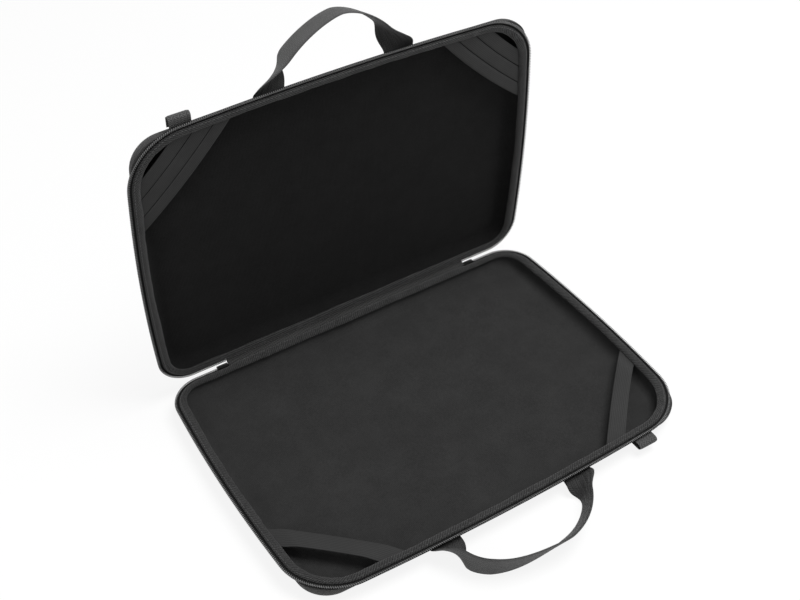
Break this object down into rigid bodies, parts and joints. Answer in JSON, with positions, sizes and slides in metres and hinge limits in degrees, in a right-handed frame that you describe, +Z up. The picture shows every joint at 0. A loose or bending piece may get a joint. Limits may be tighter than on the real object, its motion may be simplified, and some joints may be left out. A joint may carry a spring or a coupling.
{
  "type": "laptop hard case",
  "caption": "Zip-round moulded laptop case that opens like a book on a fabric hinge, with webbing handles and elastic corner straps inside.",
  "frame": {"origin": "centre of the flat underside of the base, between the hinge side and the front", "axes": "+X along the hinge to the right, +Y towards the hinge, +Z up out of the base; the handles point along -Y and up"},
  "size_m": [0.4162, 0.3754, 0.3656],
  "materials": {
    "shell_fabric": "fine woven polyester bonded to moulded EVA foam",
    "lining_fabric": "short-napped knit bonded to the inside of the shell",
    "binding_twill": "soft twill tape, rolled over the rim",
    "zip_tape": "close-woven zip tape",
    "zip_coil": "nylon coil, half gloss",
    "elastic": "smooth woven elastic",
    "webbing": "ribbed polypropylene webbing",
    "slider_metal": "black enamel on cast zinc"
  },
  "bodies": {
    "base": {"base_shell": "shell_fabric", "base_lining": "lining_fabric", "base_binding": "binding_twill", "base_zip_tape": "zip_tape", "base_zip_coil": "zip_coil", "base_strap_left": "elastic", "base_strap_right": "elastic", "base_loop": "webbing", "hinge_spine_base": "shell_fabric"},
    "lid": {"lid_shell": "shell_fabric", "lid_lining": "lining_fabric", "lid_binding": "binding_twill", "lid_zip_tape": "zip_tape", "lid_zip_coil": "zip_coil", "lid_band_left_outer": "elastic", "lid_band_left_middle": "elastic", "lid_band_left_inner": "elastic", "lid_band_right_outer": "elastic", "lid_band_right_middle": "elastic", "lid_band_right_inner": "elastic", "lid_loop": "webbing", "hinge_spine_lid": "shell_fabric"},
    "base_handle": {"base_handle": "webbing"},
    "lid_handle": {"lid_handle": "webbing"},
    "slider_left": {"slider_left": "slider_metal"},
    "slider_right": {"slider_right": "slider_metal"},
    "pull_left": {"pull_left": "slider_metal"},
    "pull_right": {"pull_right": "slider_metal"}
  },
  "joints": [
    {"name": "lid_hinge", "type": "hinge", "parent": "base", "child": "lid", "pos_m": [0, 0.14975, 0.02], "axis": [-1, 0, 0], "range_deg": [-86, 94]},
    {"name": "base_handle_swing", "type": "hinge", "parent": "base", "child": "base_handle", "pos_m": [0, -0.14245, 0.0116], "axis": [-1, 0, 0], "range_deg": [-75, 12]},
    {"name": "lid_handle_swing", "type": "hinge", "parent": "lid", "child": "lid_handle", "pos_m": [0, 0.13775, 0.31207], "axis": [1, 0, 0], "range_deg": [-60, 28]},
    {"name": "slider_left_slide", "type": "slide", "parent": "base", "child": "slider_left", "axis": [-1, 0, 0], "range_m": [0, 0.012]},
    {"name": "slider_right_slide", "type": "slide", "parent": "base", "child": "slider_right", "axis": [1, 0, 0], "range_m": [0, 0.012]},
    {"name": "pull_left_swing", "type": "hinge", "parent": "slider_left", "child": "pull_left", "pos_m": [-0.1427, 0.1514, 0.0145], "axis": [0, 0, 1], "range_deg": [0, 180]},
    {"name": "pull_right_swing", "type": "hinge", "parent": "slider_right", "child": "pull_right", "pos_m": [0.1427, 0.1514, 0.0145], "axis": [0, 0, -1], "range_deg": [0, 180]}
  ]
}
